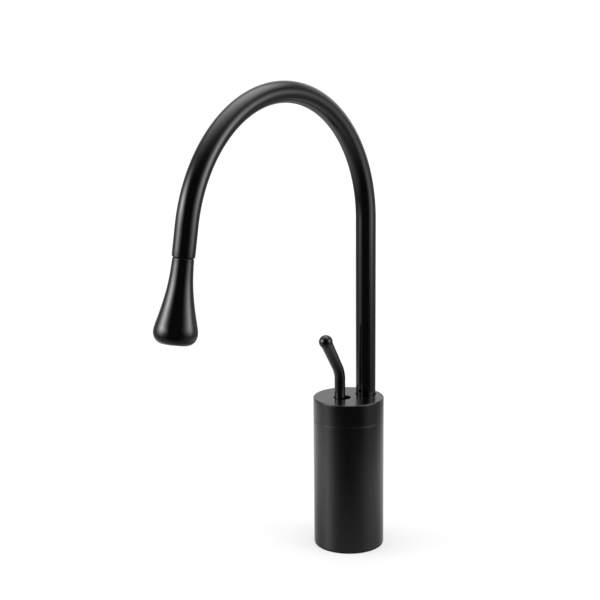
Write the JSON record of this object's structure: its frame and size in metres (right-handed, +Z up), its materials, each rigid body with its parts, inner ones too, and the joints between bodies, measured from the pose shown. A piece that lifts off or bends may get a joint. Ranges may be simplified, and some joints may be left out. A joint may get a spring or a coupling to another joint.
{
  "type": "gooseneck mixer",
  "caption": "Tall single-lever mixer: round column, thin swivelling gooseneck with a drop-shaped nozzle, bent joystick lever standing in a hole in the flat top.",
  "frame": {"origin": "on the underside of the foot gasket, at the axis of the round column", "axes": "+Z up along the column; -Y is the front, where the lever leans; +Y is the side of the riser; the spout at rest points 22.3 degrees from -Y toward +X"},
  "size_m": [0.1114, 0.2021, 0.3328],
  "materials": {
    "black_satin": "satin black coating",
    "black_gloss": "glossy black coating",
    "brass": "machined",
    "steel": "zinc plated",
    "rubber_black": "smooth",
    "plastic_white": "moulded",
    "plastic_grey": "moulded",
    "plastic_black": "moulded",
    "ceramic_white": "lapped ceramic"
  },
  "bodies": {
    "column": {"body_sleeve": "black_satin", "top_cap": "black_satin", "cap_grub_screw": "steel", "waterway_core": "brass", "base_plate": "brass", "base_screw_left": "steel", "base_screw_right": "steel", "base_gasket": "rubber_black", "spout_bush": "plastic_white", "spout_retainer": "steel", "retainer_screw_left": "steel", "retainer_screw_right": "steel", "cartridge_base": "plastic_white", "port_seal_mixed": "rubber_black", "port_seal_cold": "rubber_black", "port_seal_hot": "rubber_black", "disc_gasket": "rubber_black", "fixed_disc": "ceramic_white", "cartridge_housing": "plastic_white", "cartridge_nut": "brass"},
    "turning": {"rotor": "plastic_grey", "pivot_pin": "steel"},
    "lever": {"lever_stem": "brass", "lever_rod": "black_gloss", "dust_dome": "plastic_black"},
    "disc": {"moving_disc": "ceramic_white", "disc_carrier": "plastic_grey"},
    "spout": {"spout_spigot": "brass", "spigot_ring_lower": "rubber_black", "spigot_ring_upper": "rubber_black", "spout_tube": "black_satin", "end_adapter": "brass", "nozzle_ring": "rubber_black", "nozzle_shell": "black_satin", "aerator_washer": "rubber_black", "aerator_housing": "plastic_black", "aerator_core": "plastic_white", "aerator_screen": "plastic_grey"}
  },
  "joints": [
    {"name": "spout_swivel", "type": "hinge", "parent": "column", "child": "spout", "pos_m": [0, 0.0144, 0.1], "axis": [0, 0, 1], "continuous": true},
    {"name": "lever_turn", "type": "hinge", "parent": "column", "child": "turning", "pos_m": [0, -0.0071, 0.0978], "axis": [0, 0, 1], "range_deg": [-40, 40]},
    {"name": "lever_tilt", "type": "hinge", "parent": "turning", "child": "lever", "pos_m": [0, -0.0071, 0.0978], "axis": [-1, 0, 0], "range_deg": [0, 15]},
    {"name": "disc_slide", "type": "slide", "parent": "turning", "child": "disc", "axis": [0, -1, 0], "range_m": [0, 0.0045]}
  ],
  "couplings": [
    {"joint": "disc_slide", "follows": "lever_tilt", "m_per_rad": 0.0172}
  ]
}
